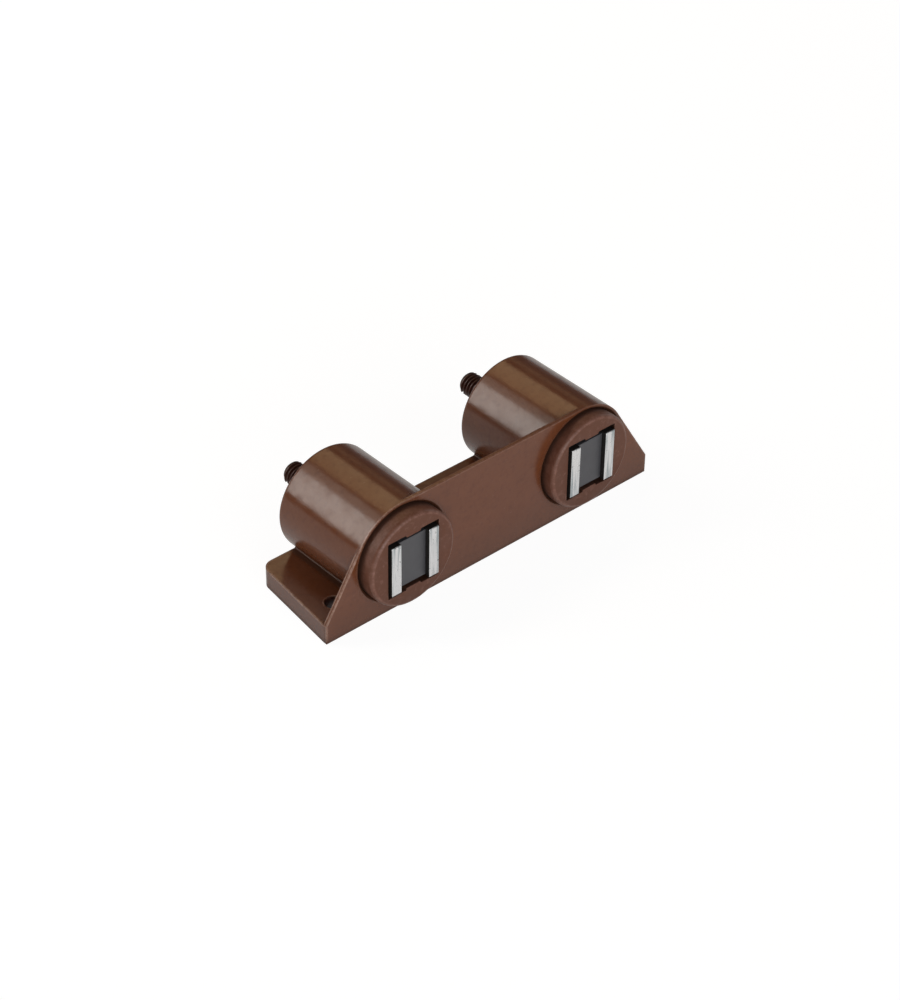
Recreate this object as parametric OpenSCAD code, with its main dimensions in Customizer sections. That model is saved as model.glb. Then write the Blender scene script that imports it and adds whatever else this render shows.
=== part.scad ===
// Double magnetic catch with two adjustable heads, for a pair of cabinet doors.
// Sizes are in millimetres. X runs along the length, Y from the doors into the
// cabinet, and Z up from the mounting face. The origin lies on the mounting face,
// midway between the two screw holes. The magnets set the size of the holders, the
// holders set the barrels, and the barrels set the rest of the bracket.

/* [Magnets] */
// Width of the ferrite block between its pole plates
magnet_w = 6.6; // [5:0.1:9]
// Height of the ferrite block
magnet_h = 10.4; // [8:0.1:14]
// Length of the ferrite block
magnet_length = 8.7; // [7:0.1:14]
// Thickness of each steel pole plate
pole_t = 2.3; // [1.5:0.1:4]
// How far a pole plate reaches over the top of the ferrite block, and under it
pole_over = 0.35; // [0:0.05:1]
// How far the pole plates stand in front of the ferrite block
pole_lead = 1; // [0.5:0.1:2]
// How far the pole plates stand out of the holder's face
pole_proud = 0.5; // [0.2:0.1:1.5]
// Radius on the front corners of a pole plate
pole_corner = 0.3; // [0.2:0.1:0.8]
// Clearance between a pole plate and the side of the pocket
pocket_side_clear = 0.4; // [0.1:0.05:0.8]
// Mean clearance above and below the pole plates in the pocket
pocket_end_clear = 0.75; // [0.5:0.05:1]
// How much lower than the middle of the pocket the magnet and its pole plates sit
magnet_drop = 0.15; // [0:0.05:0.3]
// Width of the two ribs that keep the ferrite block in line
rib_w = 3.4; // [2:0.1:4.6]
// Clearance between the ferrite block and the rib under it
rib_clear = 0.5; // [0.1:0.05:0.8]

/* [Magnet holders] */
// How far the left pole plates stand out of the face plate as it is set
left_reach = 3.8; // [0.6:0.1:7.8]
// How far the right pole plates stand out of the face plate as it is set
right_reach = 3.2; // [0.6:0.1:7.8]
// The same reach with a holder drawn right in
reach_min = 0.6; // [0.6:0.1:2]
// The same reach with a holder screwed right out
reach_max = 7.8; // [4:0.1:7.8]
// Least wall between a corner of the magnet pocket and the holder's side
holder_wall = 1.3; // [1:0.05:2.5]
// Radius that blends the holder's face into its side
holder_round = 0.9; // [0.3:0.1:2.5]
// Radial clearance of the holder in its bore
holder_clear = 0.1; // [0.05:0.01:0.1]
// Thickness of the wall between the magnet pocket and the socket behind it
pocket_floor = 1.5; // [1:0.1:3]
// Wall of the skirt behind the magnet pocket
skirt_wall = 1.4; // [1:0.1:2]
// How far the skirt reaches past the end of the snap socket
skirt_tail = 2.2; // [1.5:0.1:4]

/* [Key and groove] */
// Width of the key that stops a holder turning
key_w = 2; // [1.5:0.1:3]
// Height of the key inside the bore
key_h = 0.9; // [0.5:0.1:1.2]
// Distance of the key from the front of the face plate
key_front = 6.2; // [4:0.1:6.2]
// Length of the key along the bore
key_length = 10; // [6:0.5:10]
// Clearance round the key in its groove
key_clear = 0.15; // [0.1:0.05:0.3]

/* [Adjusting spindles] */
// Diameter of the thread
thread_d = 4.8; // [4:0.1:6]
// Radial clearance of the thread in the rear wall
thread_clear = 0.05; // [0.02:0.01:0.1]
// How far a spindle still stands out behind its barrel with the holder right out
spindle_tail = 5.8; // [2:0.1:12]
// Chamfer round the spindle's free end
spindle_tip = 0.5; // [0.2:0.1:1]
// How far the collar that the holder snaps over stands out round the thread
collar_step = 1.6; // [1:0.1:2.5]
// Thickness of that collar
collar_t = 1.5; // [1:0.1:3]
// Radial clearance of the collar in its socket
collar_clear = 0.05; // [0.03:0.01:0.1]
// Play of the collar along its axis, in front of it and behind it
collar_play = 0.1; // [0.05:0.01:0.2]
// Width of the driver slot in the spindle's free end
slot_w = 0.8; // [0.6:0.1:1.2]
// Depth of the driver slot
slot_depth = 1.2; // [0.8:0.1:2]
// Angle of the driver slot from upright as the spindles are set
slot_turn = 50; // [0:5:175]

/* [Snap socket] */
// Wall of the socket round the collar
socket_wall = 1.6; // [1:0.1:2]
// How far the snap lip reaches over the collar's edge
lip_reach = 0.6; // [0.3:0.1:0.8]
// Thickness of the snap lip
lip_t = 0.8; // [0.6:0.1:1.5]
// Width of the slits that let the lip spring open
slit_w = 1; // [0.6:0.1:1.5]

/* [Barrels] */
// Distance between the axes of the two barrels
barrel_pitch = 45; // [30:0.5:90]
// Wall of each barrel round its bore
barrel_wall = 0.9; // [0.8:0.1:2.5]
// Thickness of the barrel's rear wall
rear_wall = 2.4; // [1.5:0.1:4]
// Height of the barrel's lowest line over the mounting face
barrel_lift = 1.35; // [0.9:0.05:3]
// Radius on the barrel's back edge
back_round = 0.6; // [0.2:0.1:1.2]
// Chamfer at the mouth of the bore
mouth_chamfer = 0.45; // [0.1:0.05:0.6]
// Length of the boss that gives the thread more hold inside the barrel
boss_length = 2.6; // [1:0.1:6]
// Wall of that boss round the thread
boss_wall = 2.2; // [1:0.1:4]
// Space left in front of the boss with the holder drawn right in
boss_gap = 1.5; // [0.5:0.1:4]

/* [Face plate and foot] */
// Thickness of the face plate
plate_t = 0.8; // [0.6:0.1:2]
// Thickness of the foot that is screwed down, and height of the plate's two ends
foot_t = 4.1; // [3:0.1:6]
// How far the barrels stand out behind the foot
foot_step = 0.6; // [0:0.1:3]
// How far each end of the foot leans inward from front to back
foot_lean = 2.2; // [0:0.1:4]
// Radius of the foot's two back corners
foot_corner = 2.5; // [0.5:0.1:4]
// Radius of the fillet where a barrel runs into the top of the foot
root_round = 0.3; // [0.2:0.05:0.6]
// Distance of each screw hole from the widest line of its barrel
hole_gap = 1.5; // [1:0.1:6]
// Distance of each end of the bracket from its screw hole
end_margin = 5.5; // [4.5:0.1:10]
// Distance of the screw holes from the front of the face plate
hole_setback = 4.6; // [4:0.1:8]
// Diameter of each screw hole
hole_d = 3.5; // [2.5:0.1:4]

/* [Hidden] */

$fn = 96;
LEFT = -1;
RIGHT = 1;
OUTER = 1;
INNER = -1;
// Extra length that lets a cut pass cleanly through a surface
cut = 0.5;
// How far a straight edge runs into the arc that it meets, so that the two join cleanly
dip = 0.01;

// Magnet and its pocket
pole_h = magnet_h + 2 * pole_over;
pole_length = magnet_length + pole_lead;
pocket_w = magnet_w + 2 * (pole_t + pocket_side_clear);
pocket_h = pole_h + 2 * pocket_end_clear;
pocket_depth = pole_length - pole_proud;
// Height of each rib's edge over or under the middle of the pocket
rib_edge = magnet_h / 2 + magnet_drop + rib_clear;

// Spindle's collar and the snap socket, measured back from the holder's face
thread_r = thread_d / 2;
collar_r = thread_r + collar_step;
socket_r = collar_r + collar_clear;
hub_r = socket_r + socket_wall;
socket_front = pocket_depth + pocket_floor;
collar_front = socket_front + collar_play;
lip_front = collar_front + collar_t + collar_play;
lip_back = lip_front + lip_t;
hub_end = lip_back + lip_reach;

// Holder and the place of its face on the barrel's axis, seen from the face plate
holder_r = norm([pocket_w, pocket_h]) / 2 + holder_wall;
holder_length = hub_end + skirt_tail;
face_right_in = pole_proud - reach_min;
face_right_out = pole_proud - reach_max;

// Barrel
bore_r = holder_r + holder_clear;
barrel_r = bore_r + barrel_wall;
boss_front = face_right_in + holder_length + boss_gap;
bore_end = boss_front + boss_length;
barrel_length = bore_end + rear_wall;
hole_r = thread_r + thread_clear;
boss_r = hole_r + boss_wall;
axis_x = barrel_pitch / 2;
axis_z = barrel_lift + barrel_r;
spindle_length = barrel_length + spindle_tail - face_right_out - collar_front;

// Groove, which clears the key with the holder drawn right in
groove_front = key_front - face_right_in - key_clear;

// Face plate and foot
plate_top = axis_z + barrel_r;
hole_x = axis_x + barrel_r + hole_gap;
end_x = hole_x + end_margin;
foot_depth = barrel_length - foot_step;
lean = atan(foot_lean / (foot_depth - plate_t));

// Colours
brown = [0.42, 0.29, 0.24];
dark_brown = [0.36, 0.24, 0.19];
ferrite_grey = [0.28, 0.28, 0.31];
zinc = [0.86, 0.87, 0.86];

// Turns a half section, drawn as radius and distance, round the Y axis
module turned() {
    rotate([-90, 0, 0]) rotate_extrude() children();
}

// Extrudes an outline drawn as width and height from y = 0 back to the given depth
module upright(depth) {
    translate([0, depth, 0]) rotate([90, 0, 0]) linear_extrude(depth) children();
}

// Puts a shape on one side's barrel axis, at the front of the face plate
module on_barrel(side) {
    translate([side * axis_x, -hole_setback, axis_z]) children();
}

// Puts a shape at the face of one side's holder
module on_face(side) {
    reach = side == LEFT ? left_reach : right_reach;
    on_barrel(side) translate([0, pole_proud - reach, 0]) children();
}

// Half section of a solid drum whose far corner is round
module drum_section(r, length, round_r) {
    square([r, length - round_r]);
    square([r - round_r, length]);
    translate([r - round_r, length - round_r]) circle(round_r);
}

// Where the plate's sloping edge leaves its corner circle, for the right end
function slope_touch() =
    let (
        run = [end_x - axis_x, foot_t - axis_z],
        angle = atan2(run.y, run.x) + acos(barrel_r / norm(run))
    )
    [axis_x, axis_z] + barrel_r * [cos(angle), sin(angle)];

// Face plate: flat along the top, round over each barrel and sloping down to its ends
module plate_outline() {
    touch = slope_touch();
    polygon([
        [-end_x, 0], [end_x, 0], [end_x, foot_t], touch, [axis_x, plate_top],
        [-axis_x, plate_top], [-touch.x, touch.y], [-end_x, foot_t]
    ]);
    for (side = [LEFT, RIGHT]) translate([side * axis_x, axis_z]) circle(barrel_r);
}

// Foot in plan: its ends lean inward behind the plate and its back corners are round
module foot_outline() {
    corner_y = foot_depth - foot_corner;
    corner_x = end_x - (corner_y - plate_t) * tan(lean) - foot_corner / cos(lean);
    touch = [corner_x, corner_y] + (foot_corner - dip) * [cos(lean), sin(lean)];
    polygon([
        [-end_x, 0], [end_x, 0], [end_x, plate_t], touch, [corner_x, foot_depth],
        [-corner_x, foot_depth], [-touch.x, touch.y], [-end_x, plate_t]
    ]);
    for (side = [LEFT, RIGHT]) translate([side * corner_x, corner_y]) circle(foot_corner);
}

// Fillets on both sides of a barrel, each tangent to the barrel and to the foot's top
module root_outline() {
    centre_z = foot_t + root_round;
    centre_x = sqrt(pow(barrel_r + root_round, 2) - pow(axis_z - centre_z, 2));
    difference() {
        polygon([
            [-centre_x, centre_z], [-centre_x, foot_t - cut],
            [centre_x, foot_t - cut], [centre_x, centre_z], [0, axis_z]
        ]);
        for (flank = [-1, 1]) translate([flank * centre_x, centre_z]) circle(root_round);
    }
}

// Inside of a barrel: chamfered mouth, bore, ring round the boss and threaded hole
module barrel_hollow() {
    turned() polygon([
        [0, -cut], [bore_r + mouth_chamfer + cut, -cut],
        [bore_r, mouth_chamfer], [bore_r, bore_end],
        [boss_r, bore_end], [boss_r, boss_front],
        [hole_r, boss_front], [hole_r, barrel_length + cut], [0, barrel_length + cut]
    ]);
}

// Key along the bottom of a bore, rooted in the barrel's wall
module bore_key() {
    root = barrel_wall / 2;
    translate([-key_w / 2, key_front, -bore_r - root])
        cube([key_w, key_length, key_h + root]);
}

// Bracket: face plate, foot and both barrels, moulded as one
module bracket() {
    color(brown) {
        difference() {
            union() {
                translate([0, -hole_setback, 0]) {
                    upright(plate_t) plate_outline();
                    linear_extrude(foot_t) foot_outline();
                    for (side = [LEFT, RIGHT])
                        translate([side * axis_x, 0, 0]) upright(foot_depth) root_outline();
                }
                for (side = [LEFT, RIGHT])
                    on_barrel(side) turned() drum_section(barrel_r, barrel_length, back_round);
            }
            for (side = [LEFT, RIGHT]) {
                on_barrel(side) barrel_hollow();
                translate([side * hole_x, 0, -cut]) cylinder(d = hole_d, h = foot_t + 2 * cut);
            }
        }
        for (side = [LEFT, RIGHT]) on_barrel(side) bore_key();
    }
}

// Body of a holder: round face, skirt, and the snap socket for the spindle's collar
module holder_form() {
    lip_r = socket_r - lip_reach;
    skirt_r = holder_r - skirt_wall;
    turned() {
        translate([0, socket_front]) mirror([0, 1])
            drum_section(holder_r, socket_front, holder_round);
        translate([skirt_r, socket_front - cut])
            square([skirt_wall, holder_length - socket_front + cut]);
        polygon([
            [socket_r, socket_front - cut], [hub_r, socket_front - cut],
            [hub_r, hub_end], [socket_r, hub_end], [lip_r, lip_back],
            [lip_r, lip_front], [socket_r, lip_front]
        ]);
    }
}

// Pocket outline: open at both sides for the pole plates, with a rib above and below
// the ferrite block
module pocket_outline() {
    difference() {
        square([pocket_w, pocket_h], center = true);
        for (turn = [0, 180])
            rotate(turn) translate([-rib_w / 2, rib_edge]) square([rib_w, pocket_h]);
    }
}

// Holder: carries the magnet in its face and slides in the barrel without turning
module holder(side) {
    color(dark_brown) on_face(side) difference() {
        holder_form();
        translate([0, -cut, 0]) upright(pocket_depth + cut) pocket_outline();
        for (turn = [45, 135])
            rotate([0, turn, 0])
                translate([-slit_w / 2, collar_front, -hub_r - cut])
                    cube([slit_w, holder_length, 2 * (hub_r + cut)]);
        translate([-key_w / 2 - key_clear, groove_front, -holder_r - cut])
            cube([key_w + 2 * key_clear, holder_length, key_h + key_clear + cut]);
    }
}

// Ferrite block between the pole plates
module magnet(side) {
    color(ferrite_grey) on_face(side)
        translate([-magnet_w / 2, pole_lead - pole_proud, -magnet_drop - magnet_h / 2])
            cube([magnet_w, magnet_length, magnet_h]);
}

// Outline of a pole plate seen from the side, with round front corners
module pole_outline() {
    straight_h = pole_h - 2 * pole_corner;
    translate([pole_corner, -pole_h / 2]) square([pole_length - pole_corner, pole_h]);
    translate([0, -straight_h / 2]) square([pole_length, straight_h]);
    for (end = [-1, 1])
        translate([pole_corner, end * straight_h / 2]) circle(pole_corner);
}

// Steel plate on the outer or inner flank of a ferrite block
module pole(side, flank) {
    flank_x = side * flank * (magnet_w + pole_t) / 2;
    color(zinc) on_face(side)
        translate([flank_x - pole_t / 2, -pole_proud, -magnet_drop])
            rotate([90, 0, 90]) linear_extrude(pole_t) pole_outline();
}

// Adjusting spindle: collar in the holder, thread through the rear wall, and a
// driver slot in the free end
module spindle(side) {
    lead_in = lip_reach / 2;
    color(dark_brown) on_face(side) translate([0, collar_front, 0]) difference() {
        turned() polygon([
            [0, 0], [collar_r - lead_in, 0], [collar_r, lead_in],
            [collar_r, collar_t], [thread_r, collar_t],
            [thread_r, spindle_length - spindle_tip],
            [thread_r - spindle_tip, spindle_length], [0, spindle_length]
        ]);
        rotate([0, slot_turn, 0])
            translate([-slot_w / 2, spindle_length - slot_depth, -thread_r - cut])
                cube([slot_w, slot_depth + cut, 2 * (thread_r + cut)]);
    }
}

bracket();
holder(LEFT);  // holder_left
holder(RIGHT);  // holder_right
magnet(LEFT);  // magnet_left
magnet(RIGHT);  // magnet_right
pole(LEFT, OUTER);  // pole_outer_left
pole(LEFT, INNER);  // pole_inner_left
pole(RIGHT, INNER);  // pole_inner_right
pole(RIGHT, OUTER);  // pole_outer_right
spindle(LEFT);  // spindle_left
spindle(RIGHT);  // spindle_right
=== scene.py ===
"""Double magnetic catch of brown moulded plastic, shown on a pale studio floor.

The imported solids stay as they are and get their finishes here. The two adjusting
spindles are built anew with their real screw threads. Everything is in metres, in
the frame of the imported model: X along the catch, Y into the cabinet, Z up from the
mounting face. A name that ends in _mm holds millimetres.
"""
import logging
import math
from abc import ABC, abstractmethod
from dataclasses import dataclass
from enum import Enum
from typing import Any

import bmesh
import bpy
from mathutils import Matrix, Vector


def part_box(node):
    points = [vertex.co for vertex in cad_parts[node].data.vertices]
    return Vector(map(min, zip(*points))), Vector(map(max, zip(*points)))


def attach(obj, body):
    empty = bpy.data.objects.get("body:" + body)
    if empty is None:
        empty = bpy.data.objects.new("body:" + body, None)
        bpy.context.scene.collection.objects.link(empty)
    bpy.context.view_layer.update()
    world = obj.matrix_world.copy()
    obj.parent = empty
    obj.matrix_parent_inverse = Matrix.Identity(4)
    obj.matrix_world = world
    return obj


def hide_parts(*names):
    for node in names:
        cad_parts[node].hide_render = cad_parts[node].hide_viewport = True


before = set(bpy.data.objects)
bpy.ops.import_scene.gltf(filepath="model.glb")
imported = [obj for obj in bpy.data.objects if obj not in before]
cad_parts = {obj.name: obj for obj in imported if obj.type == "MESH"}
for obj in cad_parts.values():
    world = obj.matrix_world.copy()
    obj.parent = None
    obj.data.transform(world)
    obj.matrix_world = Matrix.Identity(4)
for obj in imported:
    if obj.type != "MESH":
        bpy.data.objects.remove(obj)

MM = 0.001
RELIEF = 1.0  # strength of a Bump node whose distance is the real height of the relief
MASK_RAYS = 8  # samples of a Bevel or Ambient Occlusion node, enough for a smooth mask
WHITE = "#ffffff"

# How many finer layers a noise has, and how strong they are.
SMOOTH = {"Detail": 2.0, "Roughness": 0.6}
EVEN = {"Detail": 3.0, "Roughness": 0.6}
PATCHY = {"Detail": 4.0, "Roughness": 0.6}
LAYERED = {"Detail": 5.0, "Roughness": 0.6}
SCUFFED = {"Detail": 6.0, "Roughness": 0.75}
PITTED = {"Detail": 3.0, "Roughness": 0.7}
NOISE_SPAN = (0.3, 0.7)  # most values of a noise lie between these

Socket = bpy.types.NodeSocket
Tree = bpy.types.NodeTree
Node = bpy.types.Node
Pair = tuple[float, float]
Triple = tuple[float, float, float]

log = logging.getLogger("magnetic_catch")

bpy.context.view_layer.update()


def linear(hex_code: str) -> tuple[float, float, float, float]:
    """Turns an sRGB colour into linear light.

    Args:
        hex_code: The colour as #rrggbb.

    Returns:
        Red, green, blue and alpha for a shader socket.
    """
    channels = [int(hex_code[i : i + 2], 16) / 255 for i in (1, 3, 5)]
    light = [c / 12.92 if c <= 0.04045 else ((c + 0.055) / 1.055) ** 2.4 for c in channels]
    return (*light, 1.0)


def per_metre(size_mm: float) -> float:
    """Gives the texture scale whose features are about as large as a real size.

    Args:
        size_mm: The width of one feature in millimetres.

    Returns:
        The scale for a texture in object coordinates, which are metres.
    """
    return 1 / (size_mm * MM)


def limits(given: Pair, result: Pair) -> dict[str, float]:
    """Names the two ranges of a value that is mapped and then held at its ends.

    Args:
        given: Two of its values, in either order.
        result: What the two become.

    Returns:
        The values for the inputs of a Map Range node.
    """
    return {"From Min": given[0], "From Max": given[1], "To Min": result[0], "To Max": result[1]}


def add(tree: Tree, kind: str, sockets: dict[str | int, Any] | None = None, **settings: Any) -> Node:
    """Adds a node with its settings and links.

    Args:
        tree: The tree that takes the node.
        kind: The node's type in Blender.
        sockets: For each input, by name or index, a value, a colour as #rrggbb, an output
            to link, or a node whose first output in use is linked.
        **settings: The node's own properties.

    Returns:
        The new node.
    """
    node = tree.nodes.new(kind)
    for name, value in settings.items():
        setattr(node, name, value)
    named = {socket.name: socket for socket in reversed(node.inputs) if socket.enabled}
    for key, value in (sockets or {}).items():
        socket = node.inputs[key] if isinstance(key, int) else named[key]
        if isinstance(value, Node):
            value = next(output for output in value.outputs if output.enabled)
        if isinstance(value, Socket):
            tree.links.new(value, socket)
        else:
            socket.default_value = linear(value) if isinstance(value, str) else value
    return node


def hollow(tree: Tree, reach_mm: float, open_span: Pair = (0.95, 0.6)) -> Node:
    """Finds the inner corners and gaps of a piece, where light and hands don't reach.

    Args:
        tree: The material's tree.
        reach_mm: How near the next surface has to be, in millimetres.
        open_span: How much of the sky a point sees, from nearly open to deep in a corner.

    Returns:
        1 deep in a corner, 0 in the open.
    """
    sky = add(tree, "ShaderNodeAmbientOcclusion", {"Distance": reach_mm * MM}, samples=MASK_RAYS)
    return add(tree, "ShaderNodeMapRange", {"Value": sky.outputs["AO"], **limits(open_span, (0.0, 1.0))})


def low_down(tree: Tree, place: Socket, share: float, span_mm: Pair = (2.0, 9.0)) -> Node:
    """Finds how far down a point lies on the part, for painted shade that darkens it towards the bottom.

    Args:
        tree: The material's tree.
        place: The point on the piece, in metres.
        share: The share of painted shade at the lowest points.
        span_mm: The heights above the mounting face between which the painted shade ends.

    Returns:
        The share of painted shade.
    """
    height = add(tree, "ShaderNodeSeparateXYZ", {"Vector": place}).outputs["Z"]
    span = (span_mm[0] * MM, span_mm[1] * MM)
    return add(tree, "ShaderNodeMapRange", {"Value": height, **limits(span, (share, 0.0))})


def forward(tree: Tree) -> Socket:
    """Gives the Y part of a piece's normal, which is -1 on a face that looks to the doors."""
    facing = add(tree, "ShaderNodeTexCoord").outputs["Normal"]
    return add(tree, "ShaderNodeSeparateXYZ", {"Vector": facing}).outputs["Y"]


class Side(Enum):
    """The two halves of the catch, with their words in the names of nodes and bodies."""

    LEFT = "left"
    RIGHT = "right"


class Join(Enum):
    """What is done with the second of two closed meshes, as Blender names it."""

    ADDED = "UNION"
    CUT_AWAY = "DIFFERENCE"


@dataclass(frozen=True)
class Finish(ABC):
    """A finish: what a surface is made of and how it was made.

    In every finish a colour is an sRGB hex value, a field that ends in _share is the
    strongest share of an effect, and one that ends in _span holds the two values of its
    pattern between which the effect grows.
    """

    name: str

    @abstractmethod
    def shade(self, tree: Tree, place: Socket) -> Node:
        """Adds the finish's nodes.

        Args:
            tree: The material's tree.
            place: The point on the piece, in metres.

        Returns:
            The shader node.
        """

    def material(self) -> bpy.types.Material:
        """Gives the finish's material, which is made on its first use.

        Returns:
            The material.
        """
        made = bpy.data.materials.get(self.name)
        if made:
            return made
        made = bpy.data.materials.new(self.name)
        made.use_nodes = True
        tree = made.node_tree
        tree.nodes.clear()
        place = add(tree, "ShaderNodeTexCoord").outputs["Object"]
        add(tree, "ShaderNodeOutputMaterial", {"Surface": self.shade(tree, place)})
        return made


@dataclass(frozen=True)
class MouldedAbs(Finish):
    """Brown ABS from a polished mould: glossy, with a faint ripple and a fine speckle.

    ABS has an IOR of 1.53. A polished mould gives a roughness near 0.2, so the softboxes
    show in the barrels as bands with fairly sharp edges. Handling leaves a few scuffs
    paler. The edges are paler too, partly from wear and partly as a painted highlight that
    is strongest at the lit left end. Painted shade darkens the inner corners, the gaps
    round the heads and the lower parts.
    """

    colour: str = "#6e3c22"
    streak: str = "#7c482c"
    streak_mm: float = 5.0
    mottle: str = "#5c3020"
    mottle_mm: float = 1.0
    mottle_span: Pair = (0.5, 0.75)
    mottle_share: float = 0.45
    # Pale colour of the scuffs and of the edges, which are partly wear and partly a painted highlight
    worn_and_lit: str = "#c09886"
    edge_mm: float = 0.3
    edge_wear_and_highlight_mm: float = 0.75
    edge_span: Pair = (0.998, 0.96)  # cosine between the true and the rounded normal
    edge_share: float = 0.95
    far_edge_share: float = 0.25
    # The painted edge highlight is strongest near the lit left end and fades with distance from it
    lit_end: Triple = (-0.04, -0.0045, 0.005)  # the left front corner, in metres
    lit_end_span_mm: Pair = (18.0, 32.0)  # distances from it over which the pale edges fade
    wear_and_highlight_mm: float = 0.9
    wear_and_highlight_span: Pair = (0.35, 0.6)
    least_wear_and_highlight: float = 0.35
    unmarked_corner: float = 0.5  # an inner corner as deep as this has no pale edge
    scuff_mm: float = 0.8
    scuff_span: Pair = (0.62, 0.76)
    scuff_share: float = 0.2
    # Painted shade: a dark brown in the inner corners and gaps and towards the bottom
    painted_shade: str = "#3a2010"
    corner_shade_share: float = 0.65
    low_shade_share: float = 0.25
    corner_roughness: float = 0.55
    corner_mm: float = 1.5
    ripple_mm: float = 2.0
    ripple_height_mm: float = 0.026
    speckle_mm: float = 0.25  # real grain is near 0.05 mm, and is drawn coarser to show
    speckle_height_mm: float = 0.006
    roughness_range: Pair = (0.15, 0.25)
    ior: float = 1.53

    def shade(self, tree: Tree, place: Socket) -> Node:
        """Adds the plastic's nodes.

        Args:
            tree: The material's tree.
            place: The point on the piece, in metres.

        Returns:
            The shader node.
        """
        true = add(tree, "ShaderNodeNewGeometry").outputs["Normal"]
        corner = hollow(tree, self.corner_mm)
        eased = add(tree, "ShaderNodeBevel", {"Radius": self.edge_mm * MM}, samples=MASK_RAYS)
        ripple = add(
            tree, "ShaderNodeTexNoise",
            {"Vector": place, "Scale": per_metre(self.ripple_mm), **SMOOTH},
        )
        speckle = add(
            tree, "ShaderNodeTexNoise",
            {"Vector": place, "Scale": per_metre(self.speckle_mm), **SMOOTH},
        )
        rounded = add(
            tree, "ShaderNodeMix",
            {"Factor": corner, "A": eased, "B": true}, data_type="VECTOR",
        )
        height = {"Strength": RELIEF, "Distance": self.ripple_height_mm * MM}
        waves = add(tree, "ShaderNodeBump", {**height, "Height": ripple, "Normal": rounded})
        height = {"Strength": RELIEF, "Distance": self.speckle_height_mm * MM}
        grain = add(tree, "ShaderNodeBump", {**height, "Height": speckle, "Normal": waves})
        gloss = add(
            tree, "ShaderNodeMapRange",
            {"Value": ripple, **limits(NOISE_SPAN, self.roughness_range)},
        )
        dull = add(
            tree, "ShaderNodeMix",
            {"Factor": corner, "A": gloss, "B": self.corner_roughness},
        )
        return add(
            tree, "ShaderNodeBsdfPrincipled",
            {
                "Base Color": self._used(tree, place, true, corner),
                "Roughness": dull,
                "IOR": self.ior,
                "Normal": grain,
            },
        )

    def _used(self, tree: Tree, place: Socket, true: Socket, corner: Node) -> Node:
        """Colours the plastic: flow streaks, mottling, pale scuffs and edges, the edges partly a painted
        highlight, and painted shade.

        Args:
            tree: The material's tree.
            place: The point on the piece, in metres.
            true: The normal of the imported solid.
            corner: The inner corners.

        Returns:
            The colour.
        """
        streaks = add(
            tree, "ShaderNodeTexNoise",
            {"Vector": place, "Scale": per_metre(self.streak_mm), **LAYERED},
        )
        flow = add(
            tree, "ShaderNodeMix",
            {"Factor": streaks, "A": self.colour, "B": self.streak}, data_type="RGBA",
        )
        mottling = add(
            tree, "ShaderNodeTexNoise",
            {"Vector": place, "Scale": per_metre(self.mottle_mm), **LAYERED},
        )
        spots = add(
            tree, "ShaderNodeMapRange",
            {"Value": mottling, **limits(self.mottle_span, (0.0, self.mottle_share))},
        )
        body = add(
            tree, "ShaderNodeMix",
            {"Factor": spots, "A": flow, "B": self.mottle}, data_type="RGBA",
        )
        worn_and_lit = add(
            tree, "ShaderNodeMix",
            {"Factor": self._wear_and_highlight(tree, place, true, corner), "A": body, "B": self.worn_and_lit},
            data_type="RGBA",
        )
        # Painted shade in the inner corners and gaps, then towards the bottom
        painted_corner_shade = add(
            tree, "ShaderNodeMapRange",
            {"Value": corner, **limits((0.0, 1.0), (0.0, self.corner_shade_share))},
        )
        corner_shaded = add(
            tree, "ShaderNodeMix",
            {"Factor": painted_corner_shade, "A": worn_and_lit, "B": self.painted_shade}, data_type="RGBA",
        )
        low = low_down(tree, place, self.low_shade_share)
        return add(
            tree, "ShaderNodeMix",
            {"Factor": low, "A": corner_shaded, "B": self.painted_shade}, data_type="RGBA",
        )

    def _wear_and_highlight(self, tree: Tree, place: Socket, true: Socket, corner: Node) -> Node:
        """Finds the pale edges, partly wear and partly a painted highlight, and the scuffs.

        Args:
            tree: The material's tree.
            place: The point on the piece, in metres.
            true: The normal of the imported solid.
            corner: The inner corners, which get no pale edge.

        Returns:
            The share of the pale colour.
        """
        near = add(tree, "ShaderNodeBevel", {"Radius": self.edge_wear_and_highlight_mm * MM}, samples=MASK_RAYS)
        along = add(tree, "ShaderNodeVectorMath", {0: near, 1: true}, operation="DOT_PRODUCT")
        edge = add(
            tree, "ShaderNodeMapRange",
            {"Value": along, **limits(self.edge_span, (0.0, self.edge_share))},
        )
        patches = add(
            tree, "ShaderNodeTexNoise",
            {"Vector": place, "Scale": per_metre(self.wear_and_highlight_mm), **LAYERED},
        )
        broken = add(
            tree, "ShaderNodeMapRange",
            {"Value": patches, **limits(self.wear_and_highlight_span, (self.least_wear_and_highlight, 1.0))},
        )
        outer = add(
            tree, "ShaderNodeMapRange",
            {"Value": corner, **limits((0.0, self.unmarked_corner), (1.0, 0.0))},
        )
        # The pale edges fade with distance from the lit left end; this fade is painted light
        away = add(tree, "ShaderNodeVectorMath", {0: place, 1: self.lit_end}, operation="DISTANCE")
        span = (self.lit_end_span_mm[0] * MM, self.lit_end_span_mm[1] * MM)
        end = add(
            tree, "ShaderNodeMapRange",
            {"Value": away, **limits(span, (1.0, self.far_edge_share))},
        )
        worn_and_lit = edge
        for share in (broken, outer, end):
            worn_and_lit = add(tree, "ShaderNodeMath", {0: worn_and_lit, 1: share}, operation="MULTIPLY")
        marks = add(
            tree, "ShaderNodeTexNoise",
            {"Vector": place, "Scale": per_metre(self.scuff_mm), **SCUFFED},
        )
        scuffs = add(
            tree, "ShaderNodeMapRange",
            {"Value": marks, **limits(self.scuff_span, (0.0, self.scuff_share))},
        )
        return add(tree, "ShaderNodeMath", {0: worn_and_lit, 1: scuffs}, operation="MAXIMUM")


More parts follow.
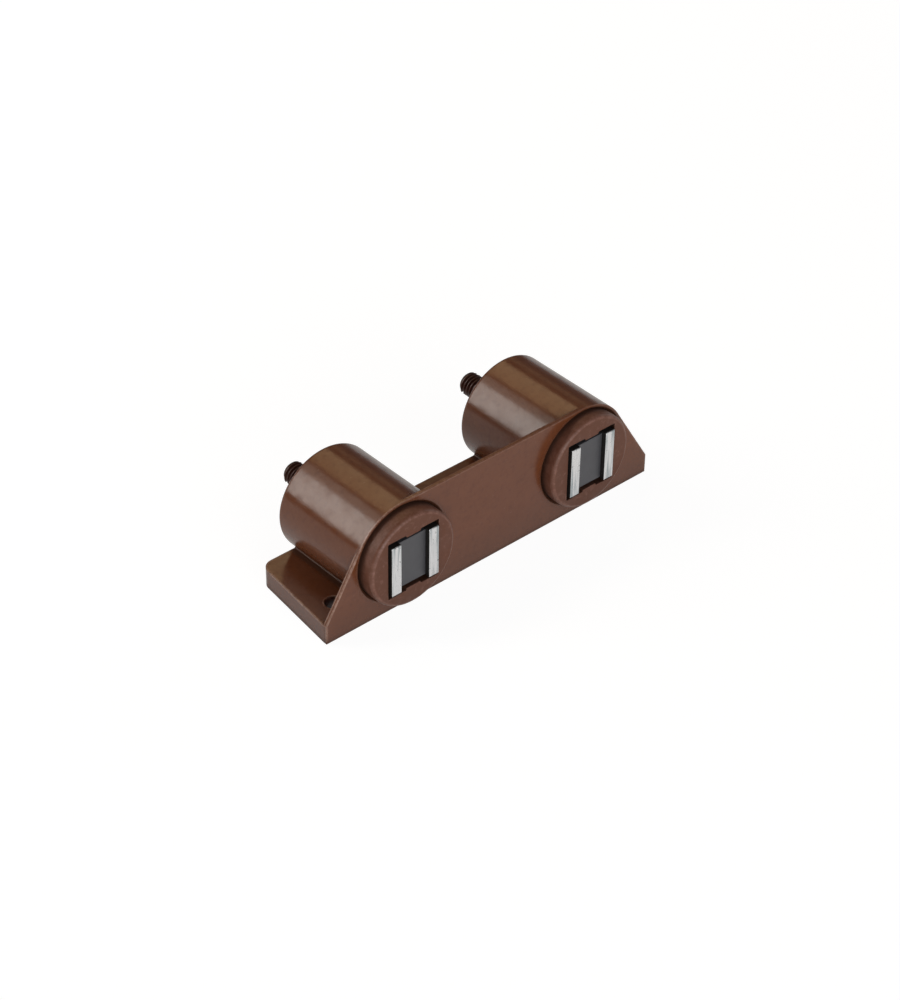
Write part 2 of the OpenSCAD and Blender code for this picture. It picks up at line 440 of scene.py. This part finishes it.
@dataclass(frozen=True)
class RubbedAbs(Finish):
    """The same brown ABS with a matt face, dulled by rubbing, scuffed and a little paler.

    The heads meet the strike plates, so their faces are dulled, with short pale scuffs.
    Their rims carry a painted highlight and their sides painted light, both in the pale
    colour and broken by the scuff pattern. Painted shade darkens the pocket, the gaps and
    the lower parts.
    """

    colour: str = "#683c27"
    # Pale colour of the scuffs, of the painted highlight on the rims and of the painted light on the
    # sides
    rubbed_and_lit: str = "#a07466"
    scuff_mm: float = 1.1
    scuff_span: Pair = (0.54, 0.74)
    scuff_share: float = 0.5
    face_span: Pair = (-0.998, -0.94)  # Y part of the normal, from the face to its rim
    rim_span: Pair = (-0.85, -0.6)  # the same, from the rim to the side
    # The share of painted light on the sides, and the span and range that break the painted rim
    # highlight
    lit_side_share: float = 0.5
    rim_break_span: Pair = (0.42, 0.6)
    rim_highlight_range: Pair = (0.2, 0.65)
    # Painted shade: a dark brown in the pocket, the gaps and towards the bottom
    painted_shade: str = "#2a180d"
    corner_shade_share: float = 0.75
    low_shade_share: float = 0.3
    corner_mm: float = 1.5
    dull_mm: float = 3.3
    grain_mm: float = 0.3  # real grain is near 0.05 mm, and is drawn coarser to show
    grain_height_mm: float = 0.006
    roughness_range: Pair = (0.42, 0.6)
    ior: float = 1.53

    def shade(self, tree: Tree, place: Socket) -> Node:
        """Adds the nodes of the plastic with the matt face.

        Args:
            tree: The material's tree.
            place: The point on the piece, in metres.

        Returns:
            The shader node.
        """
        painted_corner_shade = add(
            tree, "ShaderNodeMapRange",
            {"Value": hollow(tree, self.corner_mm), **limits((0.0, 1.0), (0.0, self.corner_shade_share))},
        )
        body = add(
            tree, "ShaderNodeMix",
            {"Factor": self._scuffs_and_highlight(tree, place), "A": self.colour, "B": self.rubbed_and_lit},
            data_type="RGBA",
        )
        corner_shaded = add(
            tree, "ShaderNodeMix",
            {"Factor": painted_corner_shade, "A": body, "B": self.painted_shade}, data_type="RGBA",
        )
        low = low_down(tree, place, self.low_shade_share)
        dull = add(
            tree, "ShaderNodeTexNoise",
            {"Vector": place, "Scale": per_metre(self.dull_mm), **PATCHY},
        )
        grain = add(
            tree, "ShaderNodeTexNoise",
            {"Vector": place, "Scale": per_metre(self.grain_mm), **EVEN},
        )
        height = {"Strength": RELIEF, "Distance": self.grain_height_mm * MM}
        return add(
            tree, "ShaderNodeBsdfPrincipled",
            {
                "Base Color": add(
                    tree, "ShaderNodeMix",
                    {"Factor": low, "A": corner_shaded, "B": self.painted_shade}, data_type="RGBA",
                ),
                "Roughness": add(
                    tree, "ShaderNodeMapRange",
                    {"Value": dull, **limits(NOISE_SPAN, self.roughness_range)},
                ),
                "IOR": self.ior,
                "Normal": add(tree, "ShaderNodeBump", {**height, "Height": grain}),
            },
        )

    def _scuffs_and_highlight(self, tree: Tree, place: Socket) -> Node:
        """Finds the scuffs on the face, the painted highlight on the rim and the painted light on the
        side.

        Args:
            tree: The material's tree.
            place: The point on the piece, in metres.

        Returns:
            The share of the pale colour.
        """
        marks = add(
            tree, "ShaderNodeTexNoise",
            {"Vector": place, "Scale": per_metre(self.scuff_mm), **SCUFFED},
        )
        scuffs = add(
            tree, "ShaderNodeMapRange",
            {"Value": marks, **limits(self.scuff_span, (0.0, self.scuff_share))},
        )
        ahead = forward(tree)
        # Painted highlight on the rim and painted light on the side, broken by the scuff pattern
        off_face = add(
            tree, "ShaderNodeMapRange",
            {"Value": ahead, **limits(self.face_span, (0.0, 1.0))},
        )
        rim = add(
            tree, "ShaderNodeMapRange",
            {"Value": ahead, **limits(self.rim_span, (1.0, self.lit_side_share))},
        )
        broken = add(
            tree, "ShaderNodeMapRange",
            {"Value": marks, **limits(self.rim_break_span, self.rim_highlight_range)},
        )
        rubbed_and_lit = off_face
        for share in (rim, broken):
            rubbed_and_lit = add(tree, "ShaderNodeMath", {0: rubbed_and_lit, 1: share}, operation="MULTIPLY")
        return add(tree, "ShaderNodeMath", {0: scuffs, 1: rubbed_and_lit}, operation="MAXIMUM")


@dataclass(frozen=True)
class ThreadNylon(Finish):
    """Dark red-brown nylon of the spindles: moulded, with a soft gloss on the thread."""

    colour: str = "#532b1e"
    mottle: str = "#633727"
    mottle_mm: float = 2.0
    grain_mm: float = 0.25  # real grain is near 0.05 mm, and is drawn coarser to show
    grain_height_mm: float = 0.003
    roughness: float = 0.36
    ior: float = 1.53

    def shade(self, tree: Tree, place: Socket) -> Node:
        """Adds the nylon's nodes.

        Args:
            tree: The material's tree.
            place: The point on the piece, in metres.

        Returns:
            The shader node.
        """
        mottling = add(
            tree, "ShaderNodeTexNoise",
            {"Vector": place, "Scale": per_metre(self.mottle_mm), **EVEN},
        )
        grain = add(
            tree, "ShaderNodeTexNoise",
            {"Vector": place, "Scale": per_metre(self.grain_mm), **SMOOTH},
        )
        height = {"Strength": RELIEF, "Distance": self.grain_height_mm * MM}
        return add(
            tree, "ShaderNodeBsdfPrincipled",
            {
                "Base Color": add(
                    tree, "ShaderNodeMix",
                    {"Factor": mottling, "A": self.colour, "B": self.mottle}, data_type="RGBA",
                ),
                "Roughness": self.roughness,
                "IOR": self.ior,
                "Normal": add(tree, "ShaderNodeBump", {**height, "Height": grain}),
            },
        )


@dataclass(frozen=True)
class GroundFerrite(Finish):
    """Sintered ferrite with a ground face: matt dark grey, faintly blue, with fine pits."""

    colour: str = "#2c2c31"
    pale: str = "#3d3d43"
    cloud_mm: float = 2.4
    pit_mm: float = 0.28  # real pits are under 0.1 mm, and are drawn coarser to show
    pit_height_mm: float = 0.012
    roughness: float = 0.5
    ior: float = 2.0

    def shade(self, tree: Tree, place: Socket) -> Node:
        """Adds the ferrite's nodes.

        Args:
            tree: The material's tree.
            place: The point on the piece, in metres.

        Returns:
            The shader node.
        """
        patches = add(
            tree, "ShaderNodeTexNoise",
            {"Vector": place, "Scale": per_metre(self.cloud_mm), **PATCHY},
        )
        pits = add(
            tree, "ShaderNodeTexNoise",
            {"Vector": place, "Scale": per_metre(self.pit_mm), **PITTED},
        )
        height = {"Strength": RELIEF, "Distance": self.pit_height_mm * MM}
        return add(
            tree, "ShaderNodeBsdfPrincipled",
            {
                "Base Color": add(
                    tree, "ShaderNodeMix",
                    {"Factor": patches, "A": self.colour, "B": self.pale}, data_type="RGBA",
                ),
                "Roughness": self.roughness,
                "IOR": self.ior,
                "Normal": add(tree, "ShaderNodeBump", {**height, "Height": pits}),
            },
        )


@dataclass(frozen=True)
class GroundSteel(Finish):
    """Mild steel pole plate: its front edge ground bright, its flanks dull and dark.

    The grinding lines run upright on the front edge. The flanks, which face narrow gaps
    in the pocket, are painted near black and dull as painted shade.
    """

    bright: str = WHITE
    shade_tone: str = "#a3b0b3"
    # Painted shade on the flanks, which face the narrow gaps in the pocket
    flank_shade: str = "#1b1715"
    flank_span: Pair = (-0.8, -0.4)  # Y part of the normal, from the front edge to a flank
    speck: str = "#4a433c"
    speck_mm: float = 0.6
    speck_span: Pair = (0.65, 0.7)
    speck_share: float = 0.6
    line_mm: float = 0.7  # real grinding lines are near 0.05 mm apart, and are drawn coarser to show
    line_length_mm: float = 12.0
    line_span: Pair = (0.48, 0.7)
    line_height_mm: float = 0.006
    cloud_mm: float = 2.2
    roughness_range: Pair = (0.2, 0.42)
    flank_roughness: float = 0.6

    def shade(self, tree: Tree, place: Socket) -> Node:
        """Adds the steel's nodes.

        Args:
            tree: The material's tree.
            place: The point on the piece, in metres.

        Returns:
            The shader node.
        """
        flank = add(
            tree, "ShaderNodeMapRange",
            {"Value": forward(tree), **limits(self.flank_span, (0.0, 1.0))},
        )
        stretch = (1.0, 1.0, self.line_mm / self.line_length_mm)
        lines = add(
            tree, "ShaderNodeTexNoise",
            {
                "Vector": add(tree, "ShaderNodeMapping", {"Vector": place, "Scale": stretch}),
                "Scale": per_metre(self.line_mm),
                **EVEN,
            },
        )
        blotches = add(
            tree, "ShaderNodeTexNoise",
            {"Vector": place, "Scale": per_metre(self.cloud_mm), **EVEN},
        )
        polish = add(
            tree, "ShaderNodeMapRange",
            {"Value": blotches, **limits(NOISE_SPAN, self.roughness_range)},
        )
        height = {"Strength": RELIEF, "Distance": self.line_height_mm * MM}
        return add(
            tree, "ShaderNodeBsdfPrincipled",
            {
                "Base Color": add(
                    tree, "ShaderNodeMix",
                    {"Factor": flank, "A": self._ground(tree, place, lines), "B": self.flank_shade},
                    data_type="RGBA",
                ),
                "Metallic": add(
                    tree, "ShaderNodeMapRange",
                    {"Value": flank, **limits((0.0, 1.0), (1.0, 0.0))},
                ),
                "Roughness": add(
                    tree, "ShaderNodeMix",
                    {"Factor": flank, "A": polish, "B": self.flank_roughness},
                ),
                "Normal": add(tree, "ShaderNodeBump", {**height, "Height": lines}),
            },
        )

    def _ground(self, tree: Tree, place: Socket, lines: Node) -> Node:
        """Colours the ground edge: bright, with greyer lines and a few dark specks.

        Args:
            tree: The material's tree.
            place: The point on the piece, in metres.
            lines: The grinding lines.

        Returns:
            The colour.
        """
        tone = add(
            tree, "ShaderNodeMapRange",
            {"Value": lines, **limits(self.line_span, (0.0, 1.0))},
        )
        ground = add(
            tree, "ShaderNodeMix",
            {"Factor": tone, "A": self.bright, "B": self.shade_tone}, data_type="RGBA",
        )
        dots = add(
            tree, "ShaderNodeTexNoise",
            {"Vector": place, "Scale": per_metre(self.speck_mm), **SMOOTH},
        )
        specks = add(
            tree, "ShaderNodeMapRange",
            {"Value": dots, **limits(self.speck_span, (0.0, self.speck_share))},
        )
        return add(
            tree, "ShaderNodeMix",
            {"Factor": specks, "A": ground, "B": self.speck}, data_type="RGBA",
        )


@dataclass(frozen=True)
class PaleFloor(Finish):
    """White studio floor: matt, and white in the view, with the object's shadow kept.

    Near the object a part of the real shading shows, and far off the floor is plain white.
    """

    colour: str = "#e6e6e6"
    kept_white: float = 0.78  # share of plain white near the object
    white_in_gloss: float = 0.37  # share of white that shows in reflections
    white_strength: float = 1.2
    blend_span: Pair = (0.25, 0.9)  # distances in metres over which it turns plain white

    def shade(self, tree: Tree, place: Socket) -> Node:
        """Adds the floor's nodes.

        Args:
            tree: The material's tree.
            place: The point on the floor, in metres.

        Returns:
            The shader node.
        """
        paint = add(tree, "ShaderNodeBsdfDiffuse", {"Color": self.colour})
        white = add(tree, "ShaderNodeEmission", {"Strength": self.white_strength})
        rays = add(tree, "ShaderNodeLightPath").outputs
        reach = add(tree, "ShaderNodeVectorMath", {0: place}, operation="LENGTH")
        far = add(
            tree, "ShaderNodeMapRange",
            {"Value": reach, **limits(self.blend_span, (self.kept_white, 1.0))},
        )
        seen = {0: rays["Is Camera Ray"], 1: far}
        view = add(tree, "ShaderNodeMath", seen, operation="MULTIPLY")
        gloss = {0: rays["Is Glossy Ray"], 1: self.white_in_gloss}
        mirrored = add(tree, "ShaderNodeMath", gloss, operation="MULTIPLY")
        share = add(tree, "ShaderNodeMath", {0: view, 1: mirrored}, operation="ADD")
        return add(tree, "ShaderNodeMixShader", {0: share, 1: paint, 2: white})


MOULDED = MouldedAbs("moulded_brown_abs")
RUBBED = RubbedAbs("rubbed_brown_abs")
THREAD = ThreadNylon("moulded_red_brown_nylon")
FERRITE = GroundFerrite("ground_ferrite")
STEEL = GroundSteel("bright_ground_steel")
FLOOR = PaleFloor("pale_studio_floor")


def dress(piece: bpy.types.Object, finish: Finish) -> None:
    """Puts a finish on every face of a piece.

    Args:
        piece: The piece.
        finish: Its finish.
    """
    piece.data.materials.clear()
    piece.data.materials.append(finish.material())


def ease_edges(
    piece: bpy.types.Object, radius_mm: float, corner_deg: float = 35.0,
    flat_deg: float = 0.3, weld_mm: float = 0.0005, segments: int = 3,
) -> None:
    """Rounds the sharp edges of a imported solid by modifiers, as its mould or tool left them.

    Args:
        piece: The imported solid.
        radius_mm: The radius on its edges.
        corner_deg: The least angle between two faces whose edge is rounded.
        flat_deg: The angle up to which two triangles are one flat face.
        weld_mm: The distance up to which two points are one.
        segments: The faces across each rounded edge.
    """
    weld = piece.modifiers.new("weld", "WELD")
    weld.merge_threshold = weld_mm * MM
    flat = piece.modifiers.new("flat_faces", "DECIMATE")
    flat.decimate_type = "DISSOLVE"
    flat.angle_limit = math.radians(flat_deg)
    bevel = piece.modifiers.new("eased_edges", "BEVEL")
    bevel.width = radius_mm * MM
    bevel.segments = segments
    bevel.limit_method = "ANGLE"
    bevel.angle_limit = math.radians(corner_deg)
    bevel.use_clamp_overlap = False
    bevel.harden_normals = True
    bevel.miter_outer = "MITER_ARC"


def shade_smooth(piece: bpy.types.Object, sharp_deg: float = 40.0) -> None:
    """Shades a new mesh smooth, but for its sharp edges.

    Args:
        piece: The piece.
        sharp_deg: The least angle between two faces whose edge stays sharp.
    """
    for polygon in piece.data.polygons:
        polygon.use_smooth = True
    piece.data.set_sharp_from_angle(angle=math.radians(sharp_deg))


@dataclass
class Bracket:
    """The moulded body: face plate, foot and both barrels in one piece.

    Its plate meets the barrels on a tangent, where a bevel modifier would fail, so its
    edges are rounded by the finish.
    """

    node: str = "bracket"
    finish: Finish = MOULDED

    def build(self) -> None:
        """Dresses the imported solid."""
        dress(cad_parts[self.node], self.finish)
        log.info("%s: %s", self.node, self.finish.name)


@dataclass
class MagnetHead:
    """One round head: the holder with the ferrite block and its two pole plates."""

    side: Side
    holder_edge_mm: float = 0.15
    pole_edge_mm: float = 0.12
    magnet_edge_mm: float = 0.15

    def build(self) -> None:
        """Dresses the head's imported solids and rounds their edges."""
        side = self.side.value
        plan = (
            (f"holder_{side}", self.holder_edge_mm, RUBBED),
            (f"magnet_{side}", self.magnet_edge_mm, FERRITE),
            (f"pole_outer_{side}", self.pole_edge_mm, STEEL),
            (f"pole_inner_{side}", self.pole_edge_mm, STEEL),
        )
        for node, edge_mm, finish in plan:
            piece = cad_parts[node]
            ease_edges(piece, edge_mm)
            dress(piece, finish)
            log.info("%s: %s", node, finish.name)


@dataclass
class AdjustingSpindle:
    """One spindle with its right-hand M5 thread, collar, tip chamfer and driver slot.

    Its sizes are in millimetres. The profile is one turn of the thread: the share of the
    pitch along it, and the height from core to crest.
    """

    side: Side
    thread_d: float = 4.8
    core_d: float = 3.95
    pitch: float = 0.8
    collar_d: float = 8.0
    collar_t: float = 1.5
    collar_lead: float = 0.3
    tip: float = 0.5
    slot_w: float = 0.8
    slot_depth: float = 1.2
    slot_turn_deg: float = 50.0
    cutter_past: float = 1.0  # how much longer the slot's cutter is than the slot
    seam: float = 1e-4  # points as near as this become one
    spin_seam: float = 1e-5  # the same in the collar
    around: int = 64  # faces round the thread and the collar
    profile: tuple[Pair, ...] = (
        (0.0, 0.0), (0.12, 0.0), (0.19, 0.12), (0.34, 0.88), (0.41, 1.0),
        (0.53, 1.0), (0.6, 0.88), (0.8, 0.12), (0.87, 0.0),
    )
    finish: Finish = THREAD

    def build(self) -> None:
        """Builds the spindle, sets it in place and lets it ride on its body."""
        side = self.side.value
        node = f"spindle_{side}"
        name = f"threaded_{node}"
        low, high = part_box(node)
        length = (high.y - low.y) / MM
        piece = self._join(self._thread(length), self._collar(), Join.ADDED)
        piece = self._join(piece, self._slot(length), Join.CUT_AWAY)
        form = bmesh.new()
        form.from_mesh(piece)
        self._put_in_order(form)
        bmesh.ops.remove_doubles(form, verts=form.verts[:], dist=self.seam)
        form.transform(Matrix.Scale(MM, 4))
        form.transform(Matrix.Translation(((low.x + high.x) / 2, low.y, (low.z + high.z) / 2)))
        mesh = bpy.data.meshes.new(name)
        form.to_mesh(mesh)
        form.free()
        spindle = bpy.data.objects.new(name, mesh)
        bpy.context.collection.objects.link(spindle)
        shade_smooth(spindle)
        dress(spindle, self.finish)
        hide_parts(node)
        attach(spindle, f"{side}_spindle")
        log.info("%s: %s, %d faces", name, self.finish.name, len(mesh.polygons))

    @staticmethod
    def _join(base: bpy.types.Mesh, tool: bpy.types.Mesh, join: Join) -> bpy.types.Mesh:
        """Joins two closed meshes, or cuts one out of the other.

        Args:
            base: The mesh that is kept.
            tool: The mesh that is added or cut away.
            join: Which of the two is done.

        Returns:
            The resulting mesh.
        """
        pair = [bpy.data.objects.new("blank", mesh) for mesh in (base, tool)]
        for blank in pair:
            bpy.context.collection.objects.link(blank)
        step = pair[0].modifiers.new("join", "BOOLEAN")
        step.operation = join.value
        step.solver = "EXACT"
        step.object = pair[1]
        bpy.context.view_layer.update()
        ready = pair[0].evaluated_get(bpy.context.evaluated_depsgraph_get())
        result = bpy.data.meshes.new_from_object(ready)
        for blank in pair:
            bpy.data.objects.remove(blank)
        return result

    @staticmethod
    def _put_in_order(form: bmesh.types.BMesh) -> None:
        """Puts points and faces in one order, because a join leaves them in a new one each run.

        Args:
            form: The joined form.
        """
        points = sorted(form.verts, key=lambda point: point.co[:])
        faces = sorted(form.faces, key=lambda face: face.calc_center_median()[:])
        for parts, ordered in ((form.verts, points), (form.faces, faces)):
            ranks = {part: rank for rank, part in enumerate(ordered)}
            parts.sort(key=ranks.get)

    def _thread(self, length: float) -> bpy.types.Mesh:
        """Makes the threaded rod along Y, rooted inside the collar.

        Args:
            length: The spindle's length.

        Returns:
            A closed mesh.
        """
        crest, core = self.thread_d / 2, self.core_d / 2
        root = self.collar_t / 2
        turns = math.ceil((length - root) / self.pitch) + 1
        # The rows start two turns before the root, so that the square cut has thread all round.
        rows = [
            (root + (turn + share) * self.pitch, core + (crest - core) * height)
            for turn in range(-2, turns + 1)
            for share, height in self.profile
        ]
        form = bmesh.new()
        columns = []
        for step in range(self.around):
            angle = 2 * math.pi * step / self.around
            lift = self.pitch * step / self.around
            column = []
            for y, radius in rows:
                radius = self._held_in(y + lift, radius, length)
                place = (radius * math.cos(angle), y + lift, radius * math.sin(angle))
                column.append(form.verts.new(place))
            columns.append(column)
        # After one turn round, a row meets the row that lies one pitch further on.
        columns.append(columns[0][len(self.profile) :])
        for here, there in zip(columns, columns[1:]):
            for row in range(min(len(here), len(there)) - 1):
                form.faces.new((here[row], here[row + 1], there[row + 1], there[row]))
        self._cut_end(form, root, Vector((0, -1, 0)))
        self._cut_end(form, length, Vector((0, 1, 0)))
        return self._closed(form, "thread")

    def _held_in(self, y: float, radius: float, length: float) -> float:
        """Takes the thread's radius down at the chamfered tip.

        Args:
            y: The distance from the collar's front face.
            radius: The thread's radius there.
            length: The spindle's length.

        Returns:
            The radius under the chamfer.
        """
        return min(radius, self.thread_d / 2 - max(0.0, y - (length - self.tip)))

    @staticmethod
    def _cut_end(form: bmesh.types.BMesh, y: float, outward: Vector) -> None:
        """Cuts the thread square at one end and closes the cut.

        Args:
            form: The thread.
            y: Where it ends.
            outward: The direction that is cut away.
        """
        parts = form.verts[:] + form.edges[:] + form.faces[:]
        cut = bmesh.ops.bisect_plane(
            form, geom=parts, plane_co=(0, y, 0), plane_no=outward, clear_outer=True
        )
        rim = [part for part in cut["geom_cut"] if isinstance(part, bmesh.types.BMEdge)]
        bmesh.ops.contextual_create(form, geom=rim)

    def _collar(self) -> bpy.types.Mesh:
        """Makes the collar that the holder snaps over, with its lead-in chamfer.

        Returns:
            A closed mesh.
        """
        outer = self.collar_d / 2
        outline = (
            (0.0, 0.0), (outer - self.collar_lead, 0.0), (outer, self.collar_lead),
            (outer, self.collar_t), (0.0, self.collar_t),
        )
        form = bmesh.new()
        points = [form.verts.new((radius, y, 0)) for radius, y in outline]
        edges = [form.edges.new(pair) for pair in zip(points, points[1:])]
        bmesh.ops.spin(
            form, geom=points + edges, cent=(0, 0, 0), axis=(0, 1, 0), angle=2 * math.pi,
            steps=self.around, use_merge=True, use_duplicate=False,
        )
        bmesh.ops.remove_doubles(form, verts=form.verts[:], dist=self.spin_seam)
        return self._closed(form, "collar")

    def _slot(self, length: float) -> bpy.types.Mesh:
        """Makes the block that is cut out of the free end for the driver slot.

        Args:
            length: The spindle's length.

        Returns:
            A closed mesh.
        """
        size = Vector((self.slot_w, 2 * self.slot_depth, self.thread_d + self.cutter_past))
        form = bmesh.new()
        bmesh.ops.create_cube(form, size=1.0)
        form.transform(Matrix.Translation((0, length, 0)) @ Matrix.Diagonal(size).to_4x4())
        form.transform(Matrix.Rotation(math.radians(self.slot_turn_deg), 4, "Y"))
        return self._closed(form, "slot")

    @staticmethod
    def _closed(form: bmesh.types.BMesh, name: str) -> bpy.types.Mesh:
        """Turns a form into a mesh whose faces all point outward.

        Args:
            form: The form, which is freed.
            name: The mesh's name.

        Returns:
            The mesh.
        """
        bmesh.ops.recalc_face_normals(form, faces=form.faces[:])
        mesh = bpy.data.meshes.new(name)
        form.to_mesh(mesh)
        form.free()
        return mesh


@dataclass(frozen=True)
class Softbox:
    """A soft rectangular lamp. Its place, target and size are in metres.

    A white lamp of radiance 1 shows as white in a mirror, whatever its size.
    """

    name: str
    place: Triple
    target: Triple
    width: float
    height: float
    radiance: float
    colour: str = WHITE
    height_axis: Triple = (0.0, 0.0, 1.0)

    def build(self) -> None:
        """Hangs the lamp so that it faces its target."""
        lamp = bpy.data.lights.new(self.name, "AREA")
        lamp.shape = "RECTANGLE"
        lamp.size = self.width
        lamp.size_y = self.height
        lamp.color = linear(self.colour)[:3]
        lamp.energy = self.radiance * math.pi * self.width * self.height
        back = (Vector(self.place) - Vector(self.target)).normalized()
        across = Vector(self.height_axis).cross(back).normalized()
        turn = Matrix((across, back.cross(across), back)).transposed().to_4x4()
        piece = bpy.data.objects.new(self.name, lamp)
        piece.matrix_world = Matrix.Translation(self.place) @ turn
        bpy.context.collection.objects.link(piece)
        log.info("%s: radiance %.2f", self.name, self.radiance)


def round_barrels(angle_deg: float, along: float = 0.44, distance: float = 0.6) -> dict[str, Triple]:
    """Places a softbox that shows as a band along the barrels.

    Args:
        angle_deg: Its angle round the barrels from straight up, towards the right.
        along: Its place along the barrels.
        distance: Its distance from the barrels.

    Returns:
        Where the softbox hangs and how it is turned.
    """
    angle = math.radians(angle_deg)
    place = (distance * math.sin(angle), along, distance * math.cos(angle))
    return {"place": place, "target": (0.0, along, 0.0), "height_axis": (0.0, 1.0, 0.0)}


AT_CATCH = (0.0, 0.0, 0.01)
WARM = "#ffdba9"
LAMPS = (
    # Two softboxes up on the left show as the broad grey band along each barrel.
    Softbox(
        "left_softbox", width=0.53, height=0.24, radiance=4.5, colour="#fff9f1",
        **round_barrels(-51),
    ),
    Softbox(
        "left_softbox_high", width=0.19, height=0.24, radiance=1.3, colour="#fff4e4",
        **round_barrels(-18),
    ),
    # A warm one overhead shows as the pale brown band beside it.
    Softbox("warm_softbox", width=0.46, height=0.24, radiance=1.6, colour=WARM, **round_barrels(18)),
    # Three panels in front light the face plate, the heads and the foot.
    Softbox("front_panel", (-0.33, -0.914, 0.235), AT_CATCH, width=1.0, height=0.4, radiance=4.15),
    Softbox("front_upper_panel", (0.164, -0.771, 0.616), AT_CATCH, width=0.7, height=0.4, radiance=1.2),
    Softbox("front_left_panel", (-0.844, -0.487, 0.225), AT_CATCH, width=0.5, height=0.4, radiance=0.2),
    # A narrow warm one gives the right flanks a last faint band.
    Softbox("right_softbox", width=0.12, height=0.24, radiance=0.3, colour=WARM, **round_barrels(57)),
    # Two lamps keep the rear and the right end from going dark.
    Softbox("back_left_lamp", (-0.4755, 0.8236, 0.309), AT_CATCH, width=0.5, height=0.5, radiance=0.6),
    Softbox("right_fill", (1.13, 0.02, 0.28), AT_CATCH, width=0.7, height=0.4, radiance=1.5),
)


@dataclass
class Studio:
    """The floor, the room, the lamps and the camera.

    The camera's angles, distance, shift and focal length were fitted to the edges of the
    object in the photograph.
    """

    floor_half: float = 12.0
    floor_gap_mm: float = 0.02
    room: str = "#0a0a0a"
    room_in_gloss: float = 0.08  # share of white that shows in reflections
    lamps: tuple[Softbox, ...] = LAMPS
    azimuth_deg: float = -41.7743
    elevation_deg: float = 37.2787
    roll_deg: float = 0.7086
    distance: float = 0.487913
    shift_right: float = -0.0080458
    shift_up: float = 0.0102479
    origin: Triple = (0.0, -0.0046, 0.0)
    focal_px: float = 2573.80
    long_side_px: int = 1000
    sensor_mm: float = 36.0
    clip: Pair = (0.01, 50.0)

    def build(self) -> None:
        """Sets up everything round the catch."""
        self._floor()
        self._world()
        for lamp in self.lamps:
            lamp.build()
        self._camera()

    def _floor(self) -> None:
        """Lays the pale floor just under the mounting face."""
        mesh = bpy.data.meshes.new("studio_floor")
        half, low = self.floor_half, -self.floor_gap_mm * MM
        corners = [(-half, -half, low), (half, -half, low), (half, half, low), (-half, half, low)]
        mesh.from_pydata(corners, [], [(0, 1, 2, 3)])
        floor = bpy.data.objects.new("studio_floor", mesh)
        bpy.context.collection.objects.link(floor)
        dress(floor, FLOOR)
        log.info("studio_floor: %s", FLOOR.name)

    def _world(self) -> None:
        """Makes the dark room, which is white in the view and dim in the gloss."""
        world = bpy.data.worlds.new("studio_room")
        world.use_nodes = True
        tree = world.node_tree
        tree.nodes.clear()
        rays = add(tree, "ShaderNodeLightPath").outputs
        seen = {0: rays["Is Camera Ray"], 1: rays["Is Transmission Ray"]}
        clear = add(tree, "ShaderNodeMath", seen, operation="MAXIMUM")
        dim = {0: rays["Is Glossy Ray"], 1: self.room_in_gloss}
        gloss = add(tree, "ShaderNodeMath", dim, operation="MULTIPLY")
        share = add(tree, "ShaderNodeMath", {0: clear, 1: gloss}, operation="MAXIMUM")
        sides = {"Factor": share, "A": self.room, "B": WHITE}
        colour = add(tree, "ShaderNodeMix", sides, data_type="RGBA")
        room = add(tree, "ShaderNodeBackground", {"Color": colour})
        add(tree, "ShaderNodeOutputWorld", {"Surface": room})
        bpy.context.scene.world = world

    def _camera(self) -> None:
        """Sets the camera at the photograph's angle."""
        turn, rise = math.radians(self.azimuth_deg), math.radians(self.elevation_deg)
        level = Vector((math.cos(turn), math.sin(turn), 0))
        toward = Vector((math.sin(turn), -math.cos(turn), 0))
        back = toward * math.cos(rise) + Vector((0, 0, math.sin(rise)))
        tilt = Matrix.Rotation(math.radians(self.roll_deg), 3, back)
        right, up = tilt @ level, tilt @ back.cross(level)
        place = Vector(self.origin) + right * self.shift_right + up * self.shift_up
        place += back * self.distance
        lens = bpy.data.cameras.new("camera")
        lens.sensor_width = self.sensor_mm
        lens.lens = self.sensor_mm * self.focal_px / self.long_side_px
        lens.clip_start, lens.clip_end = self.clip
        camera = bpy.data.objects.new("camera", lens)
        turned = Matrix((right, up, back)).transposed().to_4x4()
        camera.matrix_world = Matrix.Translation(place) @ turned
        bpy.context.collection.objects.link(camera)
        bpy.context.scene.camera = camera


def main() -> None:
    """Builds the catch and the studio."""
    logging.basicConfig(level=logging.INFO, format="%(name)s: %(message)s")
    bpy.context.scene.view_settings.view_transform = "Standard"
    Bracket().build()
    for side in Side:
        MagnetHead(side).build()
        AdjustingSpindle(side).build()
    Studio().build()


if __name__ == "__main__":
    main()
